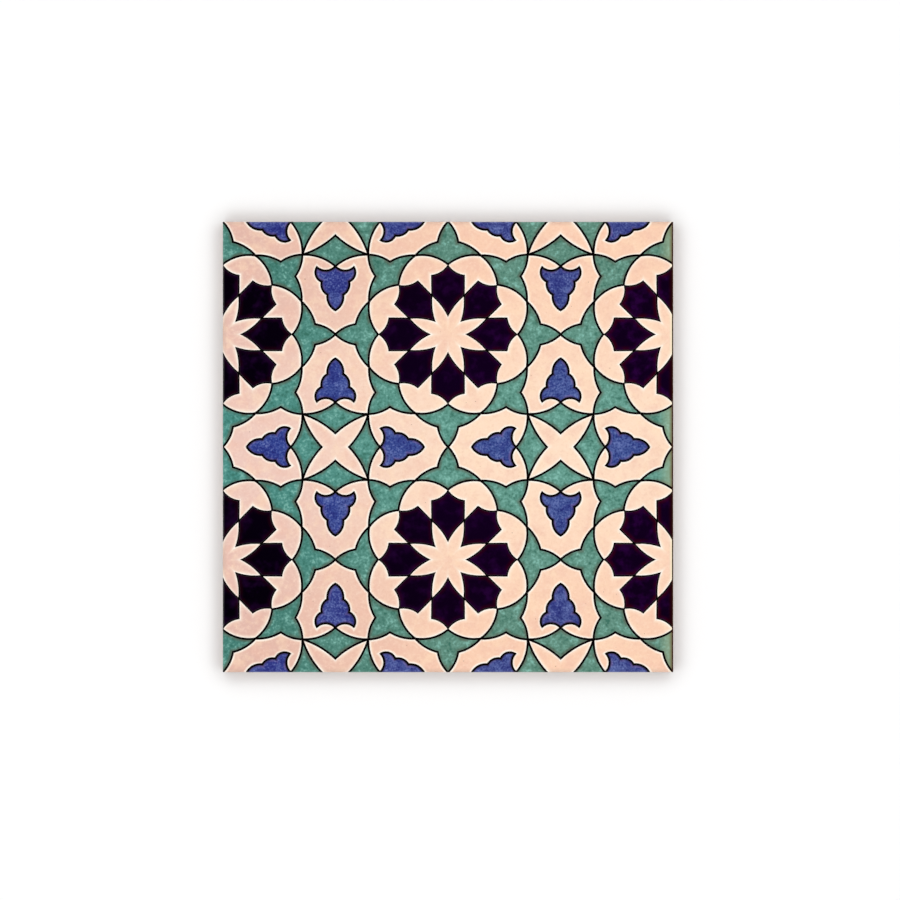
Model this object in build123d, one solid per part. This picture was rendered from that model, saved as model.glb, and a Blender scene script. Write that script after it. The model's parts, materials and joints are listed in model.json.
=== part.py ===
"""A square decorated wall tile, glazed by the dry-line method, fired as one piece.

The face carries a geometric pattern that repeats twice along each side. An eight-petal
rosette sits round a pale eight-point star with dark kites between its arms. Four shields
with a lobed leaf in each stand round a four-point cross star at the corners of the repeat.
A greasy line is drawn round every area, and the raw enamels are flooded between the lines.
The thick cream enamel stands proud in the kiln, and the thinner dark enamels and the dry
lines stay lower, so the cream areas are raised islands on the face.

Millimetres, +Z up, face up, back on the floor at z = 0, centre of the tile at x = y = 0.
"""

import os
from math import cos, radians, sin

from build123d import *

# Body of the tile
SIDE = 200.0
THICK = 9.0
ARRIS_R = 0.8
BACK_CHAMFER = 0.6

# Keying grooves in the back, which hold the mortar
GROOVE_W = 6.0
GROOVE_PITCH = 10.0
GROOVE_COUNT = 18
GROOVE_L = 180.0
GROOVE_DEPTH = 0.8
GROOVE_DRAFT = 25.0

# Enamel relief
RELIEF = 0.3
LINE_W = 0.6

# Pattern repeat: rosette centre to rosette centre, and the radii of its corner points
REPEAT = SIDE / 2
HALF = REPEAT / 2
STAR_NOTCH_R = 7.7
STAR_TIP_R = 18.1
PETAL_FOOT_R = 19.4
KITE_SHOULDER_X = 26.4
KITE_SHOULDER_Y = 7.5
CUSP_R = 31.1
CROSSING_R = 37.9
SPUR_R = 41.25
SPUR_ANGLE = 6.3
RING_R = HALF

# Radii of the curves between those points
STAR_EDGE_R = 25.8
KITE_END_R = 9.9
PETAL_R = 18.3
SHIELD_WAIST_R = 19.3
SHIELD_FLANK_R = 16.5
SHIELD_HEAD_R = 20.7
CROSS_STAR_R = 37.5

# Cross star and shield base, measured outwards from the centre of the cross star
CROSS_NOTCH = 6.1
SHIELD_BASE = 19.75

# Leaf to the outer edge of its drawn line: distance out from the cross star, and aside
LEAF_BASE = (19.25, 0.0)
LEAF_HOOK = (19.75, 8.25)
LEAF_NOTCH_1 = (26.8, 6.45)
LEAF_NOTCH_2 = (32.55, 3.85)
LEAF_TIP = (39.6, 0.0)
HOOK_R = 5.4
LOBE_1_R = 4.7
LOBE_2_R = 5.6
LOBE_3_R = 7.15


def polar(radius, angle):
    """A point by distance and direction from the rosette centre."""
    return Vector(radius * cos(radians(angle)), radius * sin(radians(angle)))


def below_cross(out, aside):
    """A point of the lower shield, measured from the centre of the cross star."""
    return Vector(HALF - aside, HALF - out)


def mirrored(half, plane):
    """The edges of half an outline with those of its mirror image."""
    return half.edges() + mirror(half, about=plane).edges()


def inset(face):
    """The enamel inside a drawn outline, which stops half a line short of it."""
    return offset(face, -LINE_W / 2, kind=Kind.INTERSECTION)


# Body: a pressed slab with upright sides, and an arris that the glaze rolls over
blank = extrude(Rectangle(SIDE, SIDE), THICK)
blank = fillet(blank.faces().sort_by(Axis.Z)[-1].edges(), ARRIS_R)
blank = chamfer(blank.faces().sort_by(Axis.Z)[0].edges(), BACK_CHAMFER)

# Back: parallel grooves with drafted walls inside a plain border
groove = extrude(Rectangle(GROOVE_L, GROOVE_W), GROOVE_DEPTH, taper=GROOVE_DRAFT)
blank -= [row * groove for row in GridLocations(0, GROOVE_PITCH, 1, GROOVE_COUNT)]

# Rosette: the flower outline, less the ring of kites, leaves the petals and the star
lobe = Curve() + [RadiusArc(polar(CUSP_R, 0), polar(CROSSING_R, 22.5), -PETAL_R)]
lobe_pair = mirrored(lobe, Plane.XZ)
flower = make_face([edge.rotate(Axis.Z, 45 * k) for k in range(8) for edge in lobe_pair])

shoulder = (KITE_SHOULDER_X, KITE_SHOULDER_Y)
kite_half = Curve() + [
    RadiusArc(polar(STAR_NOTCH_R, 0), polar(STAR_TIP_R, 22.5), -STAR_EDGE_R),
    Line(polar(STAR_TIP_R, 22.5), polar(PETAL_FOOT_R, 22.5)),
    Line(polar(PETAL_FOOT_R, 22.5), shoulder),
    RadiusArc(shoulder, polar(CUSP_R, 0), -KITE_END_R),
]
kite = make_face(mirrored(kite_half, Plane.XZ))
rosette = inset(flower) - PolarLocations(0, 8) * kite

# Cross star: four bowed arms that reach the corners of the shields
cross_centre = Axis((HALF, HALF, 0), (0, 0, 1))
arm = Curve() + [RadiusArc(polar(RING_R, 45), below_cross(CROSS_NOTCH, 0), -CROSS_STAR_R)]
arm_pair = mirrored(arm, Plane.YZ.offset(HALF))
cross_star = inset(make_face([edge.rotate(cross_centre, 90 * k) for k in range(4) for edge in arm_pair]))

# Shield: from its tip between two rosettes up to its base under the cross star
shield_half = Curve() + [
    RadiusArc(polar(RING_R, 0), polar(SPUR_R, SPUR_ANGLE), -SHIELD_FLANK_R),
    RadiusArc(polar(SPUR_R, SPUR_ANGLE), polar(CROSSING_R, 22.5), -SHIELD_WAIST_R),
    RadiusArc(polar(CROSSING_R, 22.5), polar(SPUR_R, 45 - SPUR_ANGLE), -SHIELD_WAIST_R),
    RadiusArc(polar(SPUR_R, 45 - SPUR_ANGLE), polar(RING_R, 45), -SHIELD_FLANK_R),
    RadiusArc(polar(RING_R, 45), below_cross(SHIELD_BASE, 0), SHIELD_HEAD_R),
]
leaf_half = Curve() + [
    RadiusArc(below_cross(*LEAF_BASE), below_cross(*LEAF_HOOK), HOOK_R),
    RadiusArc(below_cross(*LEAF_HOOK), below_cross(*LEAF_NOTCH_1), -LOBE_1_R),
    RadiusArc(below_cross(*LEAF_NOTCH_1), below_cross(*LEAF_NOTCH_2), -LOBE_2_R),
    RadiusArc(below_cross(*LEAF_NOTCH_2), below_cross(*LEAF_TIP), -LOBE_3_R),
]
centre_line = Plane.YZ.offset(HALF)
leaf = make_face(mirrored(leaf_half, centre_line))
shield = inset(make_face(mirrored(shield_half, centre_line))) - leaf
shields = [shield.rotate(cross_centre, 90 * k) for k in range(4)]

# Cream enamel over the whole face
cream = [place * rosette for place in GridLocations(REPEAT, REPEAT, 3, 2)]
cross_cell = [cross_star, *shields]
for place in GridLocations(REPEAT, REPEAT, 2, 3):
    cream += [place * Pos(-HALF, -HALF) * cell for cell in cross_cell]

# The lower ground: everything outside the cream areas is cut down by the height of the relief
ground = Rectangle(SIDE + 2, SIDE + 2) - cream
cutter = extrude(Pos(0, 0, THICK - RELIEF) * ground, RELIEF + 1)
tile = blank - cutter
tile.label = "tile"

os.makedirs("parts", exist_ok=True)
export_step(tile, "parts/tile.step")
print(tile.is_valid, len(tile.solids()), tile.volume, tile.bounding_box())
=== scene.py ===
# %% [markdown]
# A square wall tile, glazed by the dry-line method. Every outline of the pattern is drawn on the
# pressed clay with a greasy black line, and the coloured enamels are flooded between the lines.
# In the kiln each enamel melts into its own shallow pool with a rounded edge, while the line
# stays low and dry. The pattern could be painted on one flat face, but then no rim would catch
# the light. So the tile is built from what it is made of: the drawn pattern, one pool of glass
# for each area, and the clay body below them.

# %% Load the packed tile
import json
import math

import bmesh
import bpy
import numpy as np
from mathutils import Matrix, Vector

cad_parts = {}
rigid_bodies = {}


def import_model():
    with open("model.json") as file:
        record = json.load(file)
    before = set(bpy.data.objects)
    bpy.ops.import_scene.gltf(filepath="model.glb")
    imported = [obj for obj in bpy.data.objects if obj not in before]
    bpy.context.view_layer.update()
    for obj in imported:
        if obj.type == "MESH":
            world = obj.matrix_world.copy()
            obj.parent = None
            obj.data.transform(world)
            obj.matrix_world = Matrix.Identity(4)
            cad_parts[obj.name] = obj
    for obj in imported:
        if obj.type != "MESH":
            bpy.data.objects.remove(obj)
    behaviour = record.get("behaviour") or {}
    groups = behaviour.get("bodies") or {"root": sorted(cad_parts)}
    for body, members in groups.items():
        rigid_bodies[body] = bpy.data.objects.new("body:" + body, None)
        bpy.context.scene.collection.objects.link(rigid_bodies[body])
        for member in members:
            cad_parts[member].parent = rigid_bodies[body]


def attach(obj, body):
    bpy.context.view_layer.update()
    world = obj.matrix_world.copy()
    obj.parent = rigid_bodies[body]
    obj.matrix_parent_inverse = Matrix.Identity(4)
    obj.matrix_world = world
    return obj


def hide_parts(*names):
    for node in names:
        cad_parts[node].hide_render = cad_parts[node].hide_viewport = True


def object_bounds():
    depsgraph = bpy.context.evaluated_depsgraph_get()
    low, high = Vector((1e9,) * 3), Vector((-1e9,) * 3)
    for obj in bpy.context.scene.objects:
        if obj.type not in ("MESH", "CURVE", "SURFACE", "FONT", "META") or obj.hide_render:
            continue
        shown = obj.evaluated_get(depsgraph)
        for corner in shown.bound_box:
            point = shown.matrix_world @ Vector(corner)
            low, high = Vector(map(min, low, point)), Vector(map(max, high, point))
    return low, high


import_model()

CAD_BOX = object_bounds()
MM = 0.001
print("packed tile, metres:", CAD_BOX)

# %% [markdown]
# The sizes of the body. The packed tile gives its outer size, so the two can't drift apart.
# Everything is planned in millimetres, as a tile maker would, and is turned into metres only
# when a mesh is written. Levels are heights above the back.

# %% Sizes of the body
EDGE = round(CAD_BOX[1][0] / MM, 3)
TOP = round(CAD_BOX[1][2] / MM, 3)
ARRIS = 0.8
BACK_CHAMFER = 0.6
LINE_LEVEL = 8.62
GROOVE_PITCH = 10.0
GROOVES = 18
GROOVE_HALF = (90.0, 3.0)
GROOVE_DEPTH = 0.8
print("tile", 2 * EDGE, "mm square,", TOP, "mm thick")

# %% [markdown]
# The pattern repeats twice along each side. It is ruled by points round the centre of a rosette
# and by arcs between them. Points are complex numbers, x + y j, because turning one about the
# rosette's centre is then a multiplication. The bow of an edge is the radius of its arc: plus
# where it swells to the left of the walk, minus to the right, zero for a straight edge.

# %% Points that rule the pattern
REPEATS = 2
PITCH = 2 * EDGE / REPEATS
HALF = PITCH / 2
# The centre of a cross star, and the counts of arms round a rosette and a cross star
CROSS = complex(HALF, HALF)
ARMS, CROSS_ARMS = 8, 4
# Turns in degrees from the middle of a kite to the petal beside it and to the next kite
TO_PETAL, TO_KITE = 180 / ARMS, 360 / ARMS


def polar(radius, degrees):
    """A point by its distance and direction from the rosette's centre."""
    return radius * complex(math.cos(math.radians(degrees)), math.sin(math.radians(degrees)))


# Corner points: distances from the rosette's centre, one place, and one turn in degrees
STAR_NOTCH = 7.7
STAR_TIP = 18.1
PETAL_FOOT = 19.4
SHOULDER = complex(26.4, 7.5)
CUSP = 31.1
CROSSING = 37.9
SPUR = 41.25
SPUR_TURN = 6.3
RING = HALF
print("rosette reaches", RING, "mm, shield shoulder at", round(abs(SHOULDER), 2), "mm")

# %% [markdown]
# An enamel stops short of the middle of its drawn line by half the line's width. The outline of
# a pool is therefore the ruled outline moved inwards. Each edge lies on a circle, and an edge
# moved inwards lies on a circle with the same centre and a changed radius, so the moved corners
# are where neighbouring circles meet. That keeps every arc a true arc and every corner sharp,
# which an offset of sampled points wouldn't.

# %% Outlines moved inwards
LINE_GAP = 0.46
# A straight edge is an arc of so large a radius that its bow can't be seen
STRAIGHT = 20000.0


def edge_circle(start, end, bow):
    """The circle under an edge: its centre, its radius, and +1 where it swells inwards."""
    radius = abs(bow) or STRAIGHT
    turn = -1 if bow < 0 else 1
    chord = end - start
    left = 1j * chord / abs(chord)
    centre = (start + end) / 2 - turn * left * math.sqrt(radius**2 - abs(chord) ** 2 / 4)
    return centre, radius, turn


def meet(first, second, near):
    """The crossing of two circles that is nearest to a point."""
    (c1, r1), (c2, r2) = first, second
    apart = abs(c2 - c1)
    along = (apart**2 + r1**2 - r2**2) / (2 * apart)
    up = math.sqrt(max(r1**2 - along**2, 0.0))
    ahead = (c2 - c1) / apart
    return min((c1 + ahead * complex(along, s * up) for s in (1, -1)), key=lambda p: abs(p - near))


def moved_in(cell, depth):
    """A cell's corners and the circles of its edges, moved inwards by depth beyond each gap."""
    count = len(cell)
    circles = []
    for k, (corner, bow, gap) in enumerate(cell):
        centre, radius, turn = edge_circle(corner, cell[(k + 1) % count][0], bow)
        circles.append((centre, radius + turn * (gap + depth)))
    corners = [meet(circles[k - 1], circles[k], cell[k][0]) for k in range(count)]
    return corners, circles


def sweeps(corners, circles):
    """The angle that each edge turns through, seen from the centre of its circle."""
    after = corners[1:] + corners[:1]
    return [np.angle((b - centre) / (a - centre))
            for a, b, (centre, _) in zip(corners, after, circles)]


def walk(corners, circles, steps):
    """Points along the moved outline, with a set number of steps on each edge."""
    points = []
    for corner, (centre, _), sweep, count in zip(corners, circles, sweeps(corners, circles), steps):
        arm = corner - centre
        points += [centre + arm * np.exp(1j * sweep * n / count) for n in range(count)]
    return points


print("two enamels lie", 2 * LINE_GAP, "mm apart over a drawn line")

# %% [markdown]
# The areas of the pattern, each walked with its inside on the left. A mirrored area is written
# as one half, from its start on the axis of symmetry to its end on the axis, and the helper adds
# the other half walked backwards. The cream areas of the rosette are ruled to the edge of the
# enamel itself, so their gap to the dark kites is zero and the kites keep a whole line clear.

# %% The areas of the rosette
KITE_GAP = 0.6
# Radii of the curved edges
STAR_R, KITE_END_R, PETAL_R = 25.8, 9.9, 18.3
WAIST_R, FLANK_R, HEAD_R, CROSS_R = 19.3, 16.5, 20.7, 37.5
HOOK_R, LOBE_1_R, LOBE_2_R, LOBE_3_R = 5.7, 4.4, 5.3, 6.85


def mirrored(axis, half, end):
    """A closed cell from half of its outline, (corner, bow, gap), and the half's last corner."""
    corners = [c for c, _, _ in half[1:]] + [end]
    back = [((c / axis).conjugate() * axis, bow, gap) for c, (_, bow, gap) in zip(corners, half)]
    return half + back[::-1]


def turned(part, count):
    """A closed cell from one part of its outline, repeated round the centre."""
    return [(c * polar(1, 360 * k / count), bow, gap) for k in range(count) for c, bow, gap in part]


star = turned([(polar(STAR_NOTCH, 0), -STAR_R, 0), (polar(STAR_TIP, TO_PETAL), -STAR_R, 0)], ARMS)
kite = mirrored(1, [
    (polar(STAR_NOTCH, 0), STAR_R, KITE_GAP),
    (polar(STAR_TIP, -TO_PETAL), 0, KITE_GAP),
    (polar(PETAL_FOOT, -TO_PETAL), 0, KITE_GAP),
    (SHOULDER.conjugate(), KITE_END_R, KITE_GAP),
], polar(CUSP, 0))
petal = mirrored(polar(1, TO_PETAL), [
    (polar(PETAL_FOOT, TO_PETAL), 0, 0),
    (SHOULDER, -KITE_END_R, 0),
    (polar(CUSP, 0), -PETAL_R, LINE_GAP),
], polar(CROSSING, TO_PETAL))
wing = mirrored(1, [
    (polar(CUSP, 0), PETAL_R, LINE_GAP),
    (polar(CROSSING, -TO_PETAL), -WAIST_R, LINE_GAP),
    (polar(SPUR, -SPUR_TURN), -FLANK_R, LINE_GAP),
], polar(RING, 0))
print("corners: star", len(star), "kite", len(kite), "petal", len(petal), "wing", len(wing))

# %% [markdown]
# The areas round the cross star are planned from its own centre. The cream of a shield is one
# area that runs round the leaf like a horseshoe and ends in two curls, because the leaf's drawn
# line touches the shield's own line at its base.

# %% The areas round the cross star
CROSS_NOTCH, BASE = 6.1, 19.75
# Corners of the leaf: distance out from the centre, and aside
HOOK, NOTCH_1, NOTCH_2, LEAF_TIP = (20.2, 8.2), (26.6, 6.1), (32.4, 3.5), (39.3, 0.0)


def right(out, aside=0.0):
    """A point on the right of the lower shield, by its distance out from the centre and aside."""
    return complex(aside, -out)


def across(point):
    """A rosette point on the left of the lower shield, turned over to the shield's right."""
    return -(point - CROSS).conjugate()


cross_star = turned([
    (right(CROSS_NOTCH), -CROSS_R, LINE_GAP),
    (across(polar(RING, TO_KITE)), -CROSS_R, LINE_GAP),
], CROSS_ARMS)
shield = mirrored(1j, [
    (right(HALF), FLANK_R, LINE_GAP),
    (across(polar(SPUR, SPUR_TURN)), WAIST_R, LINE_GAP),
    (across(polar(CROSSING, TO_PETAL)), WAIST_R, LINE_GAP),
    (across(polar(SPUR, TO_KITE - SPUR_TURN)), FLANK_R, LINE_GAP),
    (across(polar(RING, TO_KITE)), -HEAD_R, LINE_GAP),
    (right(BASE), -HOOK_R, LINE_GAP),
    (right(*HOOK), LOBE_1_R, LINE_GAP),
    (right(*NOTCH_1), LOBE_2_R, LINE_GAP),
    (right(*NOTCH_2), LOBE_3_R, LINE_GAP),
], right(*LEAF_TIP))
leaf = mirrored(1j, [
    (right(*LEAF_TIP), -LOBE_3_R, LINE_GAP),
    (right(*NOTCH_2), -LOBE_2_R, LINE_GAP),
    (right(*NOTCH_1), -LOBE_1_R, LINE_GAP),
    (right(*HOOK), HOOK_R, LINE_GAP),
], right(BASE))
diamond = mirrored(1j, [
    (right(BASE), HEAD_R, LINE_GAP),
    (across(polar(RING, TO_KITE)), CROSS_R, LINE_GAP),
], right(CROSS_NOTCH))
print("corners: cross star", len(cross_star), "shield", len(shield), "leaf", len(leaf),
      "diamond", len(diamond))

# %% [markdown]
# A pool of molten enamel is flat in the middle and rounds down to its line, like water on wax. A
# flat shape with a bevel would come close, but a bevel crosses itself in narrow tips. So rings of
# points are laid at growing depths inside the outline and lifted along a quarter of an ellipse,
# then joined by four-sided faces. Each pool is closed below, so it is a real solid. An attribute
# keeps every point's distance from the line, because the colour changes there.

# %% One pool of enamel
STEP = 0.6
NEAR_RINGS = (0.0, 0.03, 0.12, 0.3, 0.55, 0.85, 1.2)
DEEP_RINGS = NEAR_RINGS + (1.6, 2.1)
# A pool reaches a little way into the clay, so that no light passes under it
SUNK = 0.02


def pool(name, cell, top, rim, rings=DEEP_RINGS, inside=0.0):
    """A pool's mesh object: outline, level of its flat top, width of its rim, rings of points.

    The last ring is written down as lying at least as far from the line as inside says.
    """
    corners, circles = moved_in(cell, 0.0)
    steps = [max(1, round(abs(sweep) * radius / STEP))
             for sweep, (_, radius) in zip(sweeps(corners, circles), circles)]
    points, distances = [], []
    for depth in rings:
        rise = math.sqrt(1 - (1 - min(depth / rim, 1)) ** 2) * (top - LINE_LEVEL)
        level = LINE_LEVEL + rise if depth else LINE_LEVEL - SUNK
        for p in walk(*moved_in(cell, depth), steps):
            points.append((p.real * MM, p.imag * MM, level * MM))
            distances.append(max(depth, inside) if depth == rings[-1] else depth)
    n, last = sum(steps), len(rings) - 1
    faces = [(r * n + k, r * n + (k + 1) % n, (r + 1) * n + (k + 1) % n, (r + 1) * n + k)
             for r in range(last) for k in range(n)]
    faces += [tuple(range(last * n, (last + 1) * n)), tuple(range(n))[::-1]]
    mesh = bpy.data.meshes.new(name)
    mesh.from_pydata(points, [], faces)
    mesh.attributes.new("from_line", "FLOAT", "POINT").data.foreach_set("value", distances)
    return bpy.data.objects.new(name, mesh)


print("rings of a pool, in mm from its line:", DEEP_RINGS)

# %% [markdown]
# Cream is laid on thickest and stands proud, green and blue lie lower, and aubergine lowest.
# Every area is modelled once, and this table says how many copies stand round a centre, and
# round which centres. Rosettes stand in three columns of two and cross stars in two columns of
# three, and the tile's edges halve the outer ones. Shields and leaves have corners too sharp for
# the deepest rings, so they end at the nearer ones.

# %% A pool for every area
# Level of the flat top and width of the rounded rim
CREAM = (8.99, 0.9)
COLOUR = (8.72, 0.8)
DARK = (8.67, 0.6)
# Columns and rows of the two kinds of centre
ROSETTES, CROSS_STARS = (3, 2), (2, 3)

pools = {
    "cream": [
        (pool("star_pool", star, *CREAM), 1, ROSETTES),
        (pool("petal_pool", petal, *CREAM), ARMS, ROSETTES),
        (pool("cross_pool", cross_star, *CREAM), 1, CROSS_STARS),
        (pool("shield_pool", shield, *CREAM, NEAR_RINGS, DEEP_RINGS[-1]), CROSS_ARMS, CROSS_STARS),
    ],
    "green": [
        (pool("wing_pool", wing, *COLOUR), ARMS, ROSETTES),
        (pool("diamond_pool", diamond, *COLOUR), CROSS_ARMS, CROSS_STARS),
    ],
    "blue": [(pool("leaf_pool", leaf, *COLOUR, NEAR_RINGS), CROSS_ARMS, CROSS_STARS)],
    "aubergine": [(pool("kite_pool", kite, *DARK), ARMS, ROSETTES)],
}
for areas in pools.values():
    print("faces of one pool:", {one.name: len(one.data.polygons) for one, _, _ in areas})

# %% [markdown]
# Materials are written as formulas. A small class wraps one output socket of a node tree, and a
# sum on it adds the Math node. Nodes of every other kind come from one method, which takes the
# node's type, the values or links of its sockets, and its settings by name. The same trees could
# be put together by hand, but a formula can be read, changed and run again.

# %% A socket that can be used in sums
def find(sockets, key):
    """A socket by its identifier, which tells like-named ones apart, or by its name or number."""
    same = [s for s in sockets if s.identifier == key]
    return same[0] if same else sockets[key]


class Formula:
    """One output socket in a node tree. Sums with numbers or other sockets add Math nodes."""

    def __init__(self, tree, socket=None):
        self.tree, self.socket = tree, socket

    def node(self, kind, values=None, out=0, **settings):
        """A new node of a kind, its settings first, then its sockets; one output comes back."""
        made = self.tree.nodes.new(kind)
        for key, value in settings.items():
            setattr(made, key, value)
        for key, value in (values or {}).items():
            socket = find(made.inputs, key)
            if isinstance(value, Formula):
                self.tree.links.new(value.socket, socket)
            else:
                socket.default_value = value
        return Formula(self.tree, find(made.outputs, out))

    def maths(self, operation, first, second=0.0):
        """One Math node, by the name of its operation."""
        values = {"Value": first, "Value_001": second}
        return self.node("ShaderNodeMath", values, operation=operation)

    def __add__(self, other):
        return self.maths("ADD", self, other)

    def __radd__(self, other):
        return self.maths("ADD", other, self)

    def __sub__(self, other):
        return self.maths("SUBTRACT", self, other)

    def __rsub__(self, other):
        return self.maths("SUBTRACT", other, self)

    def __mul__(self, other):
        return self.maths("MULTIPLY", self, other)

    def __rmul__(self, other):
        return self.maths("MULTIPLY", other, self)

    def __abs__(self):
        return self.maths("ABSOLUTE", self)

    def ramp(self, low, high):
        """Zero below low, one above high, with a soft climb between."""
        values = {"Value": self, "From Min": low, "From Max": high}
        return self.node("ShaderNodeMapRange", values, interpolation_type="SMOOTHSTEP")

    def blend(self, first, second):
        """First colour where this is zero, second where it is one."""
        values = {"Factor_Float": self, "A_Color": first, "B_Color": second}
        return self.node("ShaderNodeMix", values, "Result_Color", data_type="RGBA")


print("methods of a formula:", [m for m in vars(Formula) if not m.startswith("__")])

# %% [markdown]
# Colours are written as a screen shows them, from 0 to 255, because that is how they are read off
# a photo. They could be written as light at once, but nobody can picture such numbers. So each is
# turned here by the screen's own curve, and an enamel renders about as its colour is written.

# %% Colours as light
def rgb(red, green, blue):
    """A colour as a screen shows it, turned by the sRGB curve into the light a shader takes."""
    light = [v / 255 for v in (red, green, blue)]
    return tuple(v / 12.92 if v <= 0.04045 else ((v + 0.055) / 1.055) ** 2.4 for v in light) + (1.0,)


print("cream as linear light:", [round(v, 3) for v in rgb(245, 210, 188)])

# %% [markdown]
# Every finish starts the same way: object coordinates in millimetres, so that the grain of the
# glaze has a real size, and the distance from the drawn line. The noise patterns read only these
# two, which keeps them fixed to the tile from every side. A picture of glaze could be wrapped on
# instead, but it would repeat, and blur close up.

# %% Common start and end of a finish
def plain(name):
    """A new material and its shader."""
    material = bpy.data.materials.new(name)
    material.use_nodes = True
    return material, material.node_tree.nodes["Principled BSDF"]


def finish(name):
    """A new material, its shader, and the place on the tile in millimetres."""
    material, shader = plain(name)
    place = Formula(material.node_tree).node("ShaderNodeTexCoord", out="Object")
    values = {"Vector": place, "Scale": 1 / MM}
    place = place.node("ShaderNodeVectorMath", values, "Vector", operation="SCALE")
    return material, shader, place


def from_line(place):
    """How far a point of a pool lies from its drawn line, in millimetres."""
    return place.node("ShaderNodeAttribute", out="Fac", attribute_name="from_line")


def dress(material, shader, colour, roughness, normal):
    """Links the finished formulas to the shader."""
    for name, formula in (("Base Color", colour), ("Roughness", roughness), ("Normal", normal)):
        material.node_tree.links.new(formula.socket, shader.inputs[name])
    print(material.name, len(material.node_tree.nodes), "nodes")


print("finishes read positions in units of", MM, "m")

# %% [markdown]
# A melted glaze is nowhere quite even. Noise of a few sizes stands for its clouds and its grain,
# and pinholes are where gas broke through as it melted. Colours are laid over each other as
# washes, each through a mask that says where it goes, and the Mix node carries the wash's name.
# One noise could drive everything, but then all changes would fall on the same places.

# %% Grain, pinholes and washes
# Radii of a pinhole's dark middle and of its soft edge
PINHOLE = (0.1, 0.3)


def grain(place, size, detail=2.0, rough=0.5, offset=0.0):
    """Noise whose blots are about the given size in mm, between zero and one."""
    values = {"Vector": place, "Vector_001": (offset, offset, 0)}
    moved = place.node("ShaderNodeVectorMath", values, "Vector", operation="ADD")
    values = {"Vector": moved, "Scale": 1 / size, "Detail": detail, "Roughness": rough}
    return place.node("ShaderNodeTexNoise", values, "Fac", noise_dimensions="3D")


def pinholes(place, spacing):
    """One in small round spots, where a cloud of loose points comes near the surface; else zero."""
    values = {"Vector": place, "Scale": 1 / spacing}
    away = place.node("ShaderNodeTexVoronoi", values, "Distance")
    return 1 - (away * spacing).ramp(*PINHOLE)


def skin(height, distance=0.03, strength=0.5):
    """A normal from a height pattern, as deep as the distance in mm."""
    values = {"Height": height, "Distance": distance * MM, "Strength": strength}
    return height.node("ShaderNodeBump", values, "Normal")


def washed(colour, washes):
    """A colour with washes laid over it in turn, each a mask and a colour under its name."""
    for name, (mask, wash) in washes.items():
        colour = mask.blend(colour, wash)
        colour.socket.node.label = name
    return colour


print("a pinhole is at most", 2 * PINHOLE[1], "mm across")

# %% [markdown]
# The tile was hotter at its right and along its middle, so every enamel is a little paler and
# more golden there. Each finish blends four colours by the place on the face: left and right,
# and in the middle band or out towards the top and bottom. Slow clouds bend the two blends, so
# that no straight gradient shows. The dark line down the right edge stains the enamels beside it.

# %% Drift of the firing
RIGHT_LINE = 0.62
# Where the blends run: x from left to right, and the distance up or down from the middle
SIDEWAYS, OUTWARDS = (-105, 25), (0, 95)
# Size of the clouds that bend each blend, and how far they bend it
SIDE_CLOUD, SIDE_BEND = 45, 60
OUT_CLOUD, OUT_BEND = 35, 30


def along(place, letter):
    """One coordinate of the place on the tile, in mm."""
    return place.node("ShaderNodeSeparateXYZ", {"Vector": place}, letter)


def drift(place, left, right, left_out, right_out):
    """A colour that changes over the whole face, from four colours read at its far places."""
    sideways = along(place, "X") + (grain(place, SIDE_CLOUD) - 0.5) * SIDE_BEND
    outwards = abs(along(place, "Y")) + (grain(place, OUT_CLOUD, offset=50) - 0.5) * OUT_BEND
    side, away = sideways.ramp(*SIDEWAYS), outwards.ramp(*OUTWARDS)
    return away.blend(side.blend(left, right), side.blend(left_out, right_out))


def right_edge(place, width):
    """Rises from zero to one over the last stretch before the dark line of the right edge."""
    end = EDGE - RIGHT_LINE
    return along(place, "X").ramp(end - width, end)


def arris_shade_mask(place, width):
    """Rises from zero to one over the last stretch before any edge; it masks painted arris shade."""
    aside, up = abs(along(place, "X")), abs(along(place, "Y"))
    return aside.maths("MAXIMUM", aside, up).ramp(EDGE - width, EDGE)


print("the dark line of the right edge is", RIGHT_LINE, "mm wide")

# %% [markdown]
# Cream enamel is the thickest: opaque and warm, with rosy and golden clouds. A near-white band
# along its rounded rim is painted highlight, where the rim catches the light. Its gloss has the
# faint waviness of a melted surface. One flat colour would look like plastic, so the clouds and a
# fine grain break it up.

# %% Cream enamel
cream, shader, place = finish("cream_enamel")
depth = from_line(place)
cloud = grain(place, 9, detail=3, rough=0.55, offset=40)
golden = grain(place, 6, detail=3, rough=0.6, offset=75)
fine = grain(place, 1.2, detail=3, rough=0.65, offset=90)
patch = grain(place, 8, offset=60).ramp(0.35, 0.65)
body = drift(
    place, left=rgb(235, 199, 188), right=rgb(252, 221, 195),
    left_out=rgb(223, 181, 168), right_out=rgb(248, 205, 177),
)
colour = washed(body, {
    "rosy clouds": (cloud.ramp(0.42, 0.72) * 0.5, rgb(238, 190, 170)),
    "golden clouds": (golden.ramp(0.46, 0.7) * 0.35, rgb(255, 226, 192)),
    "pale grain": (fine.ramp(0.48, 0.72) * 0.32, rgb(255, 230, 210)),
    "brown grain": ((1 - fine.ramp(0.3, 0.48)) * 0.22, rgb(222, 176, 152)),
    "pinholes": (pinholes(place, 4.5) * 0.6, rgb(120, 84, 70)),
    # Painted shade: the colour is darker over the last stretch before every edge, where the face rolls
    # over the arris
    "painted arris shade": (arris_shade_mask(place, 2.2) * 0.55, rgb(204, 172, 154)),
    # Painted highlight: the two rims whiten the colour near the line, where the rounded rim catches the
    # light
    "soft painted highlight": ((1 - depth.ramp(0.2, 2.1)) * (0.25 + patch * 0.4), rgb(255, 240, 221)),
    "white painted highlight": ((1 - depth.ramp(0.1, 0.9)) * (0.5 + patch * 0.35), rgb(255, 250, 240)),
    "golden right edge": (right_edge(place, 1.4) * 0.8, rgb(255, 242, 208)),
})
dress(cream, shader, colour, 0.12 + cloud * 0.12, skin(grain(place, 3.5, offset=10)))

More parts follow.
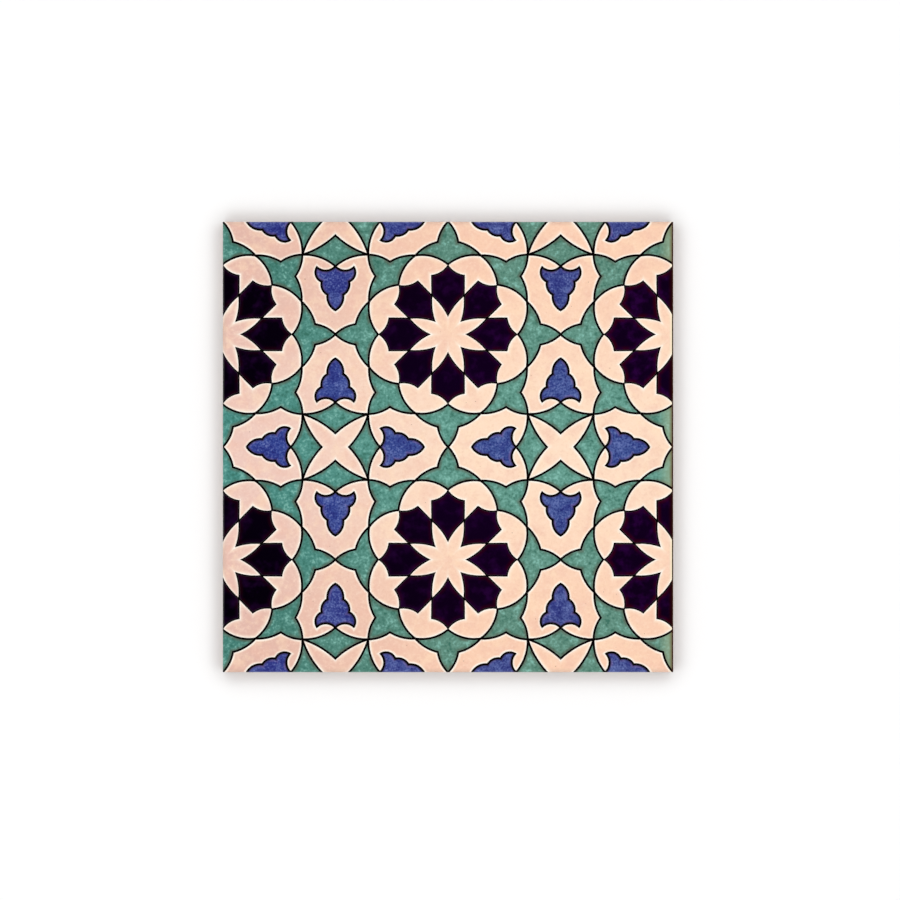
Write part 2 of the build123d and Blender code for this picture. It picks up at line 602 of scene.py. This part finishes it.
# %% [markdown]
# Green enamel is coloured with copper. It is half clear, so the grain of undissolved colour
# shows as a mottle about a millimetre across, lighter and darker, and in patches beside the
# drawn line the two run together into a greyish brown. Real depth in the glass would be slow to
# render in so thin a layer, so the mottle lies in the colour.

# %% Green enamel
green, shader, place = finish("green_enamel")
depth = from_line(place)
fine = grain(place, 1.2, rough=0.6)
cloud = grain(place, 4.5, detail=3, rough=0.6, offset=25)
mottle = fine * 0.5 + cloud * 0.5
patch = grain(place, 5, offset=70).ramp(0.4, 0.62)
body = drift(
    place, left=rgb(72, 138, 130), right=rgb(98, 152, 138),
    left_out=rgb(70, 127, 117), right_out=rgb(97, 140, 124),
)
colour = washed(body, {
    "pale mottle": (mottle.ramp(0.49, 0.7) * 0.8, rgb(140, 198, 184)),
    "dark mottle": ((1 - mottle.ramp(0.33, 0.52)) * 0.8, rgb(50, 104, 88)),
    "line run in": ((1 - depth.ramp(0.2, 1.6)) * (0.15 + patch * 0.55), rgb(84, 88, 72)),
    "pale right edge": (right_edge(place, 7.0) * 0.5, rgb(168, 182, 146)),
    "stained right edge": (right_edge(place, 1.6) * 0.85, rgb(112, 98, 66)),
})
dress(green, shader, colour, 0.14 + fine * 0.12, skin(grain(place, 3, offset=10)))

# %% [markdown]
# Blue enamel is cobalt, strong and slightly violet, with slow clouds and a fine pale grain. It
# darkens towards its line, where the layer is thin and the black shows through, and a pale haze
# stands here and there inside that dark edge. Both read the distance from the line.

# %% Blue enamel
blue, shader, place = finish("blue_enamel")
depth = from_line(place)
fine = grain(place, 0.85, rough=0.6, offset=7)
cloud = grain(place, 4, offset=65)
slow = grain(place, 7, offset=120)
haze = (1 - depth.ramp(0.6, 1.2)) * grain(place, 4, offset=15).ramp(0.45, 0.65)
body = drift(
    place, left=rgb(49, 66, 142), right=rgb(63, 82, 144),
    left_out=rgb(50, 58, 134), right_out=rgb(66, 76, 138),
)
colour = washed(body, {
    "pale clouds": (slow.ramp(0.5, 0.66) * 0.5, rgb(90, 106, 166)),
    "deep clouds": ((1 - slow.ramp(0.36, 0.5)) * 0.5, rgb(44, 50, 126)),
    "pale grain": ((fine * 0.65 + cloud * 0.35).ramp(0.5, 0.7) * 0.75, rgb(118, 132, 190)),
    "deep grain": ((1 - (fine * 0.7 + cloud * 0.3).ramp(0.34, 0.52)) * 0.8, rgb(30, 34, 106)),
    "haze": (haze * 0.6, rgb(118, 104, 160)),
    "dark edge": ((1 - depth.ramp(0.1, 0.7)) * 0.75, rgb(44, 28, 78)),
})
dress(blue, shader, colour, 0.14 + fine * 0.12, skin(grain(place, 3, offset=10)))

# %% [markdown]
# Aubergine enamel is manganese, nearly black where it is thick. It is black and blue at the
# tile's left, turns violet from the middle on, and has a red brown rim towards the right. So its
# washes grow stronger from left to right, by the place on the tile.

# %% Aubergine enamel
aubergine, shader, place = finish("aubergine_enamel")
depth = from_line(place)
cloud = grain(place, 6, detail=3, rough=0.6, offset=5).ramp(0.45, 0.75)
rightwards = along(place, "X").ramp(-60, 90)
rim = (1 - depth.ramp(0.3, 2.1)) * (0.2 + rightwards * 0.5)
rim_colour = grain(place, 5, offset=33).ramp(0.4, 0.6).blend(rgb(54, 0, 12), rgb(38, 0, 44))
body = drift(
    place, left=rgb(4, 0, 9), right=rgb(16, 0, 27),
    left_out=rgb(3, 0, 6), right_out=rgb(14, 0, 22),
)
colour = washed(body, {
    "violet clouds": (cloud * (0.3 + rightwards * 0.45), rgb(44, 0, 62)),
    "red brown rim": (rim, rim_colour),
    "brown right edge": (right_edge(place, 2.0), rgb(32, 2, 6)),
})
dress(aubergine, shader, colour, 0.1 + cloud * 0.08, skin(grain(place, 4, offset=10)))

# %% [markdown]
# The drawn line is manganese black mixed with grease. The grease burns away and leaves a dry,
# matt black with a warm brown cast, browner down the tile's right edge. It hardly shines, so its
# reflection is turned down as well as its roughness up.

# %% Drawn line
line, shader, place = finish("drawn_line")
shader.inputs["Specular IOR Level"].default_value = 0.02
warm = grain(place, 2, detail=3, rough=0.6)
brown_side = along(place, "X").ramp(EDGE - 1, EDGE - 0.6)
body = warm.ramp(0.4, 0.75).blend(rgb(1, 0, 0), rgb(9, 3, 3))
colour = washed(body, {"brown right edge": (brown_side, rgb(56, 26, 12))})
grit = skin(grain(place, 0.3, detail=3, rough=0.6), strength=0.6)
dress(line, shader, colour, 0.6 + warm * 0.3, grit)

# %% [markdown]
# The clay is a pressed red earthenware, fired once to a brownish biscuit with fine grog. Its
# colour is what warms the shadow beside the tile. Grog could be scattered as small grains, but
# they would be finer than a pixel, so specks of lighter and darker colour stand for them.

# %% Red biscuit
clay, shader, place = finish("red_biscuit")
cloud = grain(place, 22, detail=3, rough=0.55)
speck = grain(place, 0.7, rough=0.6, offset=30)
body = cloud.ramp(0.3, 0.7).blend(rgb(140, 106, 88), rgb(152, 118, 98))
colour = washed(body, {
    "dark grog": (speck.ramp(0.62, 0.72) * 0.5, rgb(104, 74, 58)),
    "pale grog": ((1 - speck.ramp(0.26, 0.36)) * 0.5, rgb(184, 154, 132)),
})
grit = skin(grain(place, 0.5, detail=4, rough=0.65), distance=0.08, strength=0.7)
dress(clay, shader, colour, 0.78 + speck * 0.15, grit)

# %% [markdown]
# What repeats by a rule is made by Geometry Nodes. A tree is a small machine with named inputs:
# it is run on an empty mesh, and the result is kept as a plain mesh, because a finished piece
# has to hold its own faces. Copies are realized before that, or nothing of them would be left.

# %% Trees with named inputs
def new_tree(name, inputs):
    """An empty tree with named inputs and one output: the tree, a start for formulas, inputs."""
    tree = bpy.data.node_groups.new(name, "GeometryNodeTree")
    for label, kind in inputs.items():
        tree.interface.new_socket(name=label, in_out="INPUT", socket_type="NodeSocket" + kind)
    tree.interface.new_socket(name="Result", in_out="OUTPUT", socket_type="NodeSocketGeometry")
    entry = tree.nodes.new("NodeGroupInput")
    return tree, Formula(tree), {label: Formula(tree, entry.outputs[label]) for label in inputs}


def close_tree(tree, result, material):
    """Realizes the copies, sets their material and ends the tree."""
    real = result.node("GeometryNodeRealizeInstances", {"Geometry": result})
    painted = real.node("GeometryNodeSetMaterial", {"Geometry": real, "Material": material})
    tree.links.new(painted.socket, tree.nodes.new("NodeGroupOutput").inputs[0])
    print(tree.name, len(tree.nodes), "nodes")


def run_tree(tree, name, settings):
    """Runs a tree on an empty mesh and returns its result as a plain mesh of one material."""
    carrier = bpy.data.objects.new(name, bpy.data.meshes.new(name))
    bpy.context.scene.collection.objects.link(carrier)
    modifier = carrier.modifiers.new(name, "NODES")
    modifier.node_group = tree
    # A modifier's input is set by its identifier, not by the name that a reader sees
    inputs = {i.name: i.identifier for i in tree.interface.items_tree if i.in_out == "INPUT"}
    for label, value in settings.items():
        modifier[inputs[label]] = value
    graph = bpy.context.evaluated_depsgraph_get()
    result = bpy.data.meshes.new_from_object(carrier.evaluated_get(graph))
    bpy.data.objects.remove(carrier)
    # A tree leaves an empty slot before its material, so every face is moved back to the first
    result.polygons.foreach_set("material_index", [0] * len(result.polygons))
    return result


print("node trees so far:", len(bpy.data.node_groups))

# %% [markdown]
# One area stands for dozens: it is turned round its centre, and the ring is set down on a grid
# of the repeat. Copying it in a loop would work too, but in a tree the count and the grid stay
# plain numbers that can be changed. The grid runs past the tile, because the real pattern is cut
# through by the tile's edges too.

# %% The tree that repeats an area
repeat_tree, start, given = new_tree("pattern_repeat", {
    "Area": "Object", "Copies Round": "Int", "Columns": "Int", "Rows": "Int",
    "Pitch": "Float", "Enamel": "Material",
})
area = start.node("GeometryNodeObjectInfo", {"Object": given["Area"], "As Instance": True}, "Geometry")
spokes = start.node("GeometryNodePoints", {"Count": given["Copies Round"]})
turn = start.node("GeometryNodeInputIndex") * math.tau
turn = turn.maths("DIVIDE", turn, given["Copies Round"])
spin = start.node("ShaderNodeCombineXYZ", {"Z": turn})
ring = start.node("GeometryNodeInstanceOnPoints", {
    "Points": spokes, "Instance": area, "Rotation": spin})
grid = start.node("GeometryNodeMeshGrid", {
    "Size X": (given["Columns"] - 1) * given["Pitch"], "Size Y": (given["Rows"] - 1) * given["Pitch"],
    "Vertices X": given["Columns"], "Vertices Y": given["Rows"]})
laid = start.node("GeometryNodeInstanceOnPoints", {"Points": grid, "Instance": ring})
close_tree(repeat_tree, laid, given["Enamel"])

# %% [markdown]
# The edges of the tile cut the pattern. Each mesh is sliced where the face ends, and the cut is
# closed. A Boolean would cut as well, but it is slower and can leave a slit. At the right edge
# the pools stop short and leave the dark line showing that runs down that side.

# %% Slicing at an edge
EDGE_GAP = 0.02
# The way out over each edge of the tile, and how far before it the pools stop
WAYS_OUT = (
    (Vector((1, 0, 0)), RIGHT_LINE),
    (Vector((-1, 0, 0)), EDGE_GAP),
    (Vector((0, 1, 0)), EDGE_GAP),
    (Vector((0, -1, 0)), EDGE_GAP),
)
# A point this near to a slice, in metres, counts as lying on it
ON_SLICE = 1e-7


def slice_at(cutting, out, inset, parts, clear):
    """One slice at a distance in from an edge; clear takes away what lies beyond it."""
    return bmesh.ops.bisect_plane(
        cutting, geom=parts, dist=ON_SLICE, plane_no=out,
        plane_co=out * (EDGE - inset) * MM, clear_outer=clear)


def open_edges(checked):
    """The number of edges that don't have a face on both sides."""
    return sum(1 for e in checked.edges if len(e.link_faces) != 2)


print("pools stop", EDGE_GAP, "mm before three edges and", RIGHT_LINE, "mm before the right one")

# %% [markdown]
# The glaze rolls over the arris. A flat mesh has no points to bend at there, and one with points
# everywhere would be heavy. So only the last stretch is sliced again a few times, closer together
# where the arris is steeper, and every point is let down by as much as the arris falls.

# %% Rolling over the arris
BORDER = 1.5
# Distances in from the edge of the slices that let the glaze bend
ROLL = (0.06, 0.16, 0.32, 0.55, 0.8)


def drop(x, y):
    """How far the rounded arris lies below the flat face at a place, in mm."""
    inside = ARRIS - max(min(EDGE - abs(x), EDGE - abs(y), ARRIS), 0.0)
    return ARRIS - math.sqrt(ARRIS**2 - inside**2)


def cut_to_face(mesh):
    """Slices a mesh at the tile's edges, closes the cuts, and rolls it over the arris."""
    cutting = bmesh.new()
    cutting.from_mesh(mesh)
    for out, gap in WAYS_OUT:
        whole = cutting.verts[:] + cutting.edges[:] + cutting.faces[:]
        cut = slice_at(cutting, out, gap, whole, True)["geom_cut"]
        rims = [e for e in cut if isinstance(e, bmesh.types.BMEdge)]
        bmesh.ops.holes_fill(cutting, edges=rims, sides=0)
        near = {v for v in cutting.verts if v.co.dot(out) > (EDGE - BORDER) * MM}
        faces = {f for v in near for f in v.link_faces}
        edges = {e for f in faces for e in f.edges}
        border = list(faces | edges | {v for f in faces for v in f.verts})
        for inset in ROLL:
            if inset > gap:
                border = slice_at(cutting, out, inset, border, False)["geom"]
    for v in cutting.verts:
        v.co.z -= drop(v.co.x / MM, v.co.y / MM) * MM
    bmesh.ops.recalc_face_normals(cutting, faces=cutting.faces[:])
    left_open = open_edges(cutting)
    cutting.to_mesh(mesh)
    cutting.free()
    return left_open


print("the arris falls", round(drop(EDGE - EDGE_GAP, 0), 2), "mm where the pools end")

# %% [markdown]
# Each enamel is laid in one go: the pools of one colour are repeated, joined in one mesh and cut
# at the edges. They could stay an object each, but then one colour would be dozens of objects
# that nobody moves alone. Shading is smooth, except where two faces meet at a sharp angle.

# %% Laying the enamels
SHARP_ANGLE = math.radians(50)


def show(name, mesh):
    """A mesh as a shown piece, smooth except over its sharp edges."""
    mesh.name = name
    mesh.polygons.foreach_set("use_smooth", [True] * len(mesh.polygons))
    mesh.set_sharp_from_angle(angle=SHARP_ANGLE)
    piece = bpy.data.objects.new(name, mesh)
    bpy.context.scene.collection.objects.link(piece)
    return piece


enamels = {"cream": cream, "green": green, "blue": blue, "aubergine": aubergine}
pieces = []
for name, enamel in enamels.items():
    joined = bmesh.new()
    for one, copies, (columns, rows) in pools[name]:
        copied = run_tree(repeat_tree, one.name + "_laid", {
            "Area": one, "Copies Round": copies, "Columns": columns, "Rows": rows,
            "Pitch": PITCH * MM, "Enamel": enamel})
        joined.from_mesh(copied)
    mesh = bpy.data.meshes.new(name + "_enamel")
    joined.to_mesh(mesh)
    joined.free()
    mesh.materials.append(enamel)
    left_open = cut_to_face(mesh)
    pieces.append(show(name + "_enamel", mesh))
    triangles = sum(len(f.vertices) - 2 for f in mesh.polygons)
    print(name, "enamel:", len(mesh.polygons), "faces,", triangles, "triangles,",
          left_open, "open edges")

# %% [markdown]
# The clay body has a flat face, a rounded arris, upright sides and a small rounded chamfer at
# the back. A cube with bevels would do for that, but the back needs a point at the end of every
# groove. So the outline is walked with those points, and the walk is repeated at each level of
# the edge's profile, which makes a tidy skin of four-sided faces. The face and most of the
# arris carry the drawn line's black, because that is what shows between the pools.

# %% Clay body
# Turns of the arris at which a level is set, and how many bands below the face are black
ARRIS_TURNS = (15, 30, 45, 60, 75, 90)
BLACK_BANDS = 5
SIDE_LEVEL = 4.0
# The middle of the rounded chamfer, inset and level, as shares of its size
CHAMFER_MIDDLE = (0.3, 0.32)
# Points nearer to each other than this, in metres, are one point
WELD = 1e-6


def outline_at(inset):
    """The square outline at an inset, with a point at the end of every groove's strip."""
    far = EDGE - inset
    stops = [GROOVE_PITCH * (k - GROOVES / 2) for k in range(GROOVES + 1)]
    right_side = [complex(far, y) for y in [-far, *stops]]
    left_side = [complex(-far, y) for y in [far, *stops[::-1]]]
    return right_side + [complex(far, far)] + left_side + [complex(-far, -far)]


profile = [(ARRIS, LINE_LEVEL)]
for degrees in ARRIS_TURNS:
    turn = math.radians(degrees)
    profile.append((ARRIS * (1 - math.sin(turn)), LINE_LEVEL - ARRIS * (1 - math.cos(turn))))
profile += [
    (0.0, SIDE_LEVEL),
    (0.0, BACK_CHAMFER),
    (BACK_CHAMFER * CHAMFER_MIDDLE[0], BACK_CHAMFER * CHAMFER_MIDDLE[1]),
    (BACK_CHAMFER, 0.0),
]
shell = bmesh.new()
loops = [[shell.verts.new((p.real * MM, p.imag * MM, level * MM)) for p in outline_at(inset)]
         for inset, level in profile]
count = len(loops[0])
for band, (upper, lower) in enumerate(zip(loops, loops[1:])):
    for k in range(count):
        after = (k + 1) % count
        face = shell.faces.new((upper[k], lower[k], lower[after], upper[after]))
        face.material_index = 1 if band < BLACK_BANDS else 0
shell.faces.new(loops[0]).material_index = 1
# A plain border closes the back beyond the first and the last groove's strip
strips_end = GROOVE_PITCH * GROOVES / 2 * MM
for sign in (1, -1):
    beyond = [v for v in loops[-1] if v.co.y * sign >= strips_end - WELD]
    a, b, c, d = sorted(beyond, key=lambda v: (v.co.y, v.co.x))
    shell.faces.new((a, b, d, c))
print("shell:", len(shell.faces), "faces")

# %% [markdown]
# The back is ribbed, so that the mortar can grip. The ribs are what is left between pressed
# grooves, and each groove has sloping walls so that the tile leaves the die. Cutting eighteen
# grooves with Booleans would leave ragged faces, so one strip with one groove is modelled as
# rectangles within each other.

# %% One groove of the back
# Inset from the groove's outline, and depth, down its rounded and sloping wall
GROOVE_PROFILE = (
    (-0.3, 0.0), (-0.08, 0.05), (0.06, 0.2), (0.26, 0.62), (0.4, 0.76), (0.65, GROOVE_DEPTH))
CORNERS = ((-1, -1), (-1, 1), (1, 1), (1, -1))


def rectangle(growing, half_x, half_y, level):
    """Four new points at the corners of a rectangle, sizes and level in mm."""
    return [growing.verts.new((x * half_x * MM, y * half_y * MM, level * MM)) for x, y in CORNERS]


strip = bmesh.new()
rims = [rectangle(strip, EDGE - BACK_CHAMFER, GROOVE_PITCH / 2, 0.0)]
for inset, level in GROOVE_PROFILE:
    rims.append(rectangle(strip, GROOVE_HALF[0] - inset, GROOVE_HALF[1] - inset, level))
for outer, inner in zip(rims, rims[1:]):
    for k in range(4):
        strip.faces.new((outer[k], outer[(k + 1) % 4], inner[(k + 1) % 4], inner[k]))
strip.faces.new(rims[-1])
strip_mesh = bpy.data.meshes.new("groove_strip")
strip.to_mesh(strip_mesh)
strip.free()
strip_object = bpy.data.objects.new("groove_strip", strip_mesh)
print("strip:", len(strip_mesh.polygons), "faces")

# %% [markdown]
# A second tree repeats the strip across the back, along a line of points. An Array modifier would
# do the same, but here the count and the pitch are inputs with names, as in the first tree.

# %% Grooved back
rib_tree, start, given = new_tree("grooved_back", {
    "Strip": "Object", "Count": "Int", "Pitch": "Float", "Clay": "Material"})
one = start.node("GeometryNodeObjectInfo", {"Object": given["Strip"], "As Instance": True}, "Geometry")
first = start.node("ShaderNodeCombineXYZ", {"Y": (given["Count"] - 1) * given["Pitch"] * -0.5})
stride = start.node("ShaderNodeCombineXYZ", {"Y": given["Pitch"]})
row = start.node("GeometryNodeMeshLine", {
    "Count": given["Count"], "Start Location": first, "Offset": stride})
laid = start.node("GeometryNodeInstanceOnPoints", {"Points": row, "Instance": one})
close_tree(rib_tree, laid, given["Clay"])
ribs = run_tree(rib_tree, "grooves", {
    "Strip": strip_object, "Count": GROOVES, "Pitch": GROOVE_PITCH * MM, "Clay": clay})
print("grooves:", len(ribs.polygons), "faces")

# %% [markdown]
# The strips meet edge to edge and end at the points that the outline was given. So merging
# doubles closes the body into one skin without a gap, where two shells stuck into each other
# would leave an open seam. Normals are worked out afterwards, so that every face looks outwards.

# %% Closing the body
shell.from_mesh(ribs)
bmesh.ops.remove_doubles(shell, verts=shell.verts[:], dist=WELD)
bmesh.ops.recalc_face_normals(shell, faces=shell.faces[:])
left_open = open_edges(shell)
body_mesh = bpy.data.meshes.new("clay_body")
shell.to_mesh(body_mesh)
shell.free()
body_mesh.materials.append(clay)
body_mesh.materials.append(line)
pieces.append(show("clay_body", body_mesh))
black_faces = sum(f.material_index for f in body_mesh.polygons)
print("clay body:", len(body_mesh.polygons), "faces,", black_faces, "of them black,",
      left_open, "open edges")

# %% [markdown]
# The tile lies on a white table, which catches its shadow. The table could have legs and a rim,
# but none of it is in view, so one flat sheet far larger than the view stands for it. It has no
# gloss, so that nothing but the shadow shows on it.

# %% Table
TABLE_REACH = 4
TABLE_WHITE = 0.945
table_mesh = bpy.data.meshes.new("table")
table_corners = [(x * TABLE_REACH, y * TABLE_REACH, 0) for x, y in ((-1, -1), (1, -1), (1, 1), (-1, 1))]
table_mesh.from_pydata(table_corners, [], [(0, 1, 2, 3)])
table = bpy.data.objects.new("table", table_mesh)
bpy.context.scene.collection.objects.link(table)
white, shader = plain("white_table")
shader.inputs["Base Color"].default_value = (TABLE_WHITE, TABLE_WHITE, TABLE_WHITE, 1)
shader.inputs["Roughness"].default_value = 0.9
shader.inputs["Specular IOR Level"].default_value = 0.0
table_mesh.materials.append(white)
print("table:", 2 * TABLE_REACH, "m wide")

# %% [markdown]
# A glossy face seen from above mirrors whatever is overhead, so a studio hangs a black card round
# the lens and lights the tile from a wide soft ring about it. Lamps could stand for the ring, but
# each would show in the gloss. So the sky here is the ring: dark overhead, bright round the card,
# and plain and dimmer down to the horizon. It lays a soft shadow all round the tile. Where the
# camera looks past the table it sees white paper, and the gloss mirrors the ring no brighter than
# that paper, so that dark enamels stay deep.

# %% Light
LOW_SKY, RING_SKY, BACKDROP = 0.5, 2.12, 1.0
# Heights, from 0 at the horizon to 1 overhead, over which the ring rises and the card begins
RING_RISE, CARD_EDGE = (0.5, 0.75), (0.87, 0.93)
world = bpy.data.worlds.new("soft_ring")
bpy.context.scene.world = world
world.use_nodes = True
sky = Formula(world.node_tree)
up = sky.node("ShaderNodeTexCoord", out="Generated")
height = sky.node("ShaderNodeSeparateXYZ", {"Vector": up}, "Z")
glow = LOW_SKY + height.ramp(*RING_RISE) * (RING_SKY - LOW_SKY)
glow = glow - height.ramp(*CARD_EDGE) * RING_SKY
gloss = sky.node("ShaderNodeLightPath", out="Is Glossy Ray")
glow = glow * (1 - gloss) + glow.maths("MINIMUM", glow, BACKDROP) * gloss
through = sky.node("ShaderNodeLightPath", out="Is Transmission Ray")
seen = sky.node("ShaderNodeLightPath", out="Is Camera Ray") + through
glow = glow * (1 - seen) + seen * BACKDROP
tone = glow.node("ShaderNodeCombineXYZ", {"X": glow, "Y": glow, "Z": glow})
background = world.node_tree.nodes["Background"]
world.node_tree.links.new(tone.socket, background.inputs["Color"])
background.inputs["Strength"].default_value = 1.0
print("sky:", len(world.node_tree.nodes), "nodes")

# %% [markdown]
# The tile is seen from straight above through a long lens, so that its sides don't show, as in
# the photo. The width that the frame takes in at the tile's face gives the camera's height.

# %% Camera
LENS, SENSOR = 150.0, 36.0
FRAME_MM, FRAME_PIXELS = 399.4, 900
# The tile lies this many pixels left of the frame's middle and above it
LEFT_BY, UP_BY = 2.0, 3.0
pixel = FRAME_MM / FRAME_PIXELS
view = bpy.data.cameras.new("photo_camera")
view.lens, view.sensor_width, view.sensor_fit = LENS, SENSOR, "HORIZONTAL"
camera = bpy.data.objects.new("photo_camera", view)
camera.location = (LEFT_BY * pixel * MM, -UP_BY * pixel * MM, (TOP + FRAME_MM * LENS / SENSOR) * MM)
bpy.context.scene.collection.objects.link(camera)
bpy.context.scene.camera = camera
bpy.context.scene.view_settings.view_transform = "Standard"
print("camera height:", round(camera.location.z, 3), "m")

# %% [markdown]
# Last, every piece is tied to the tile's one body and stands for the packed solid.

# %% Tie the pieces to the tile
for piece in pieces:
    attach(piece, "root")
    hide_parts("tile")
print("pieces:", [p.name for p in pieces])
